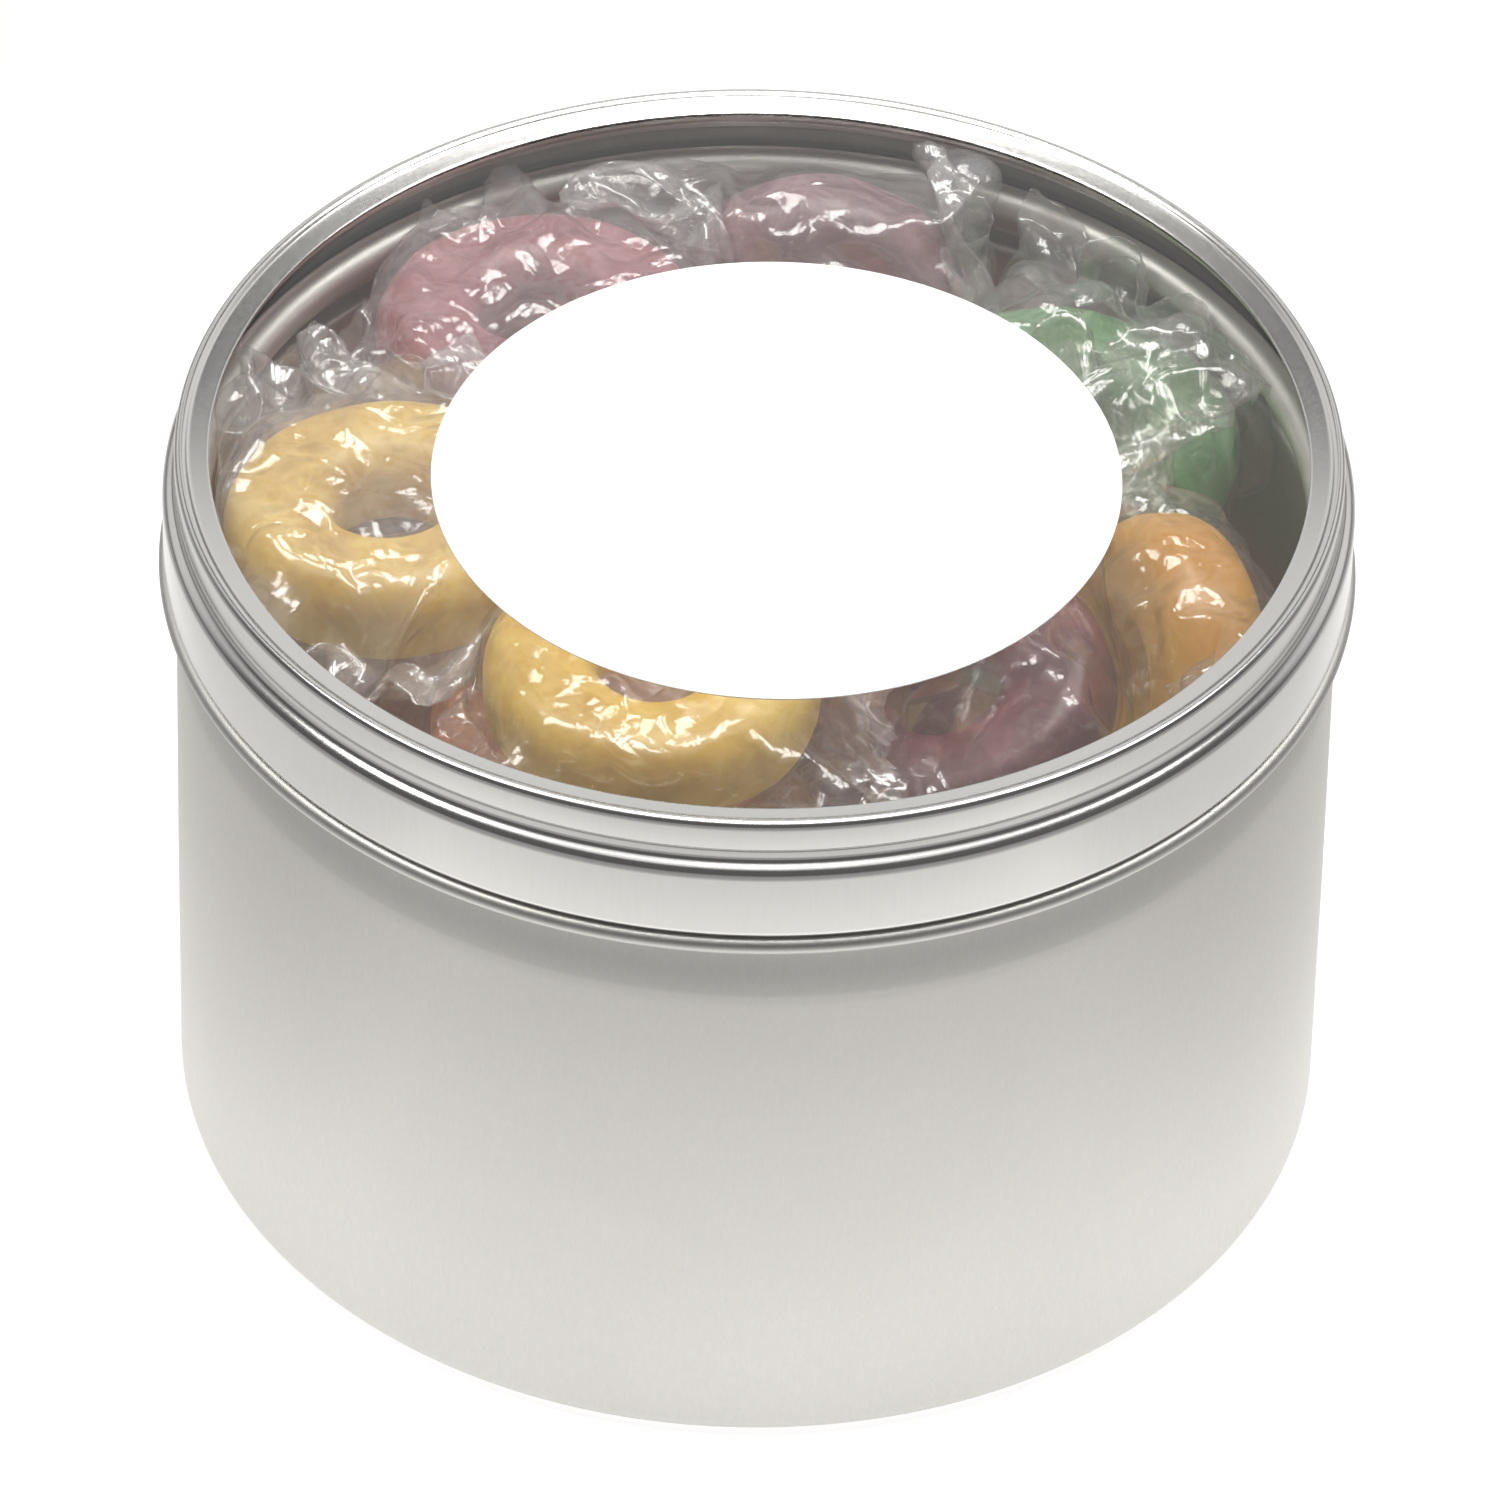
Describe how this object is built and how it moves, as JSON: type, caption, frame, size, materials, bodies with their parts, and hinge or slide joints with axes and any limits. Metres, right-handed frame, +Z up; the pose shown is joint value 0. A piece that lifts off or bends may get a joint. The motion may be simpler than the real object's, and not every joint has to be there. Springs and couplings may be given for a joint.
{
  "type": "window lid tin",
  "caption": "Round slip-lid tin with a clear window and a blank round label in its lid, filled with individually wrapped ring-shaped hard candies.",
  "frame": {"origin": "middle of the base, on the surface that the tin stands on", "axes": "+Z up through the middle of the window; -Y is the side that the picture is taken from"},
  "size_m": [0.0836, 0.0836, 0.0562],
  "materials": {
    "can_metal": "fine satin tinplate with a faint circular grain",
    "lid_metal": "fine satin tinplate, brushed across the skirt, polished on its beads",
    "clear_window": "clear, glossy sheet",
    "label_paper": "plain white paper label, matt",
    "wrapper_film": "clear crinkled film",
    "candy_yellow": "cloudy boiled sweet, glossy",
    "candy_orange": "cloudy boiled sweet, glossy",
    "candy_amber": "cloudy boiled sweet, glossy",
    "candy_purple": "cloudy boiled sweet, glossy",
    "candy_mauve": "cloudy boiled sweet, glossy",
    "candy_red": "cloudy boiled sweet, glossy",
    "candy_green": "cloudy boiled sweet, glossy"
  },
  "bodies": {
    "tin": {"can_body": "can_metal", "candy_yellow_front": "candy_yellow", "candy_yellow_right": "candy_yellow", "candy_purple_front": "candy_purple", "candy_orange_front": "candy_orange", "candy_yellow_left": "candy_yellow", "candy_amber_left": "candy_amber", "candy_orange_middle": "candy_orange", "candy_red_left": "candy_red", "candy_mauve_back": "candy_mauve", "candy_green_right": "candy_green", "candy_green_low": "candy_green", "candy_red_low": "candy_red", "candy_yellow_low": "candy_yellow", "candy_amber_low": "candy_amber", "candy_orange_low": "candy_orange", "candies_layer_1": "candy_yellow", "candies_layer_2": "candy_red", "candies_layer_3": "candy_orange", "wrapper_yellow_front": "wrapper_film", "wrapper_yellow_right": "wrapper_film", "wrapper_purple_front": "wrapper_film", "wrapper_orange_front": "wrapper_film", "wrapper_yellow_left": "wrapper_film", "wrapper_amber_left": "wrapper_film", "wrapper_orange_middle": "wrapper_film", "wrapper_red_left": "wrapper_film", "wrapper_mauve_back": "wrapper_film", "wrapper_green_right": "wrapper_film", "wrapper_green_low": "wrapper_film", "wrapper_red_low": "wrapper_film", "wrapper_yellow_low": "wrapper_film", "wrapper_amber_low": "wrapper_film", "wrapper_orange_low": "wrapper_film", "wrappers_layer_1": "wrapper_film", "wrappers_layer_2": "wrapper_film", "wrappers_layer_3": "wrapper_film"},
    "lid": {"lid_shell": "lid_metal", "window_pane": "clear_window", "window_retainer": "lid_metal", "label_disc": "label_paper"}
  },
  "joints": [
    {"name": "lid_lift", "type": "slide", "parent": "tin", "child": "lid", "axis": [0, 0, 1], "range_m": [0, 0.07]}
  ]
}
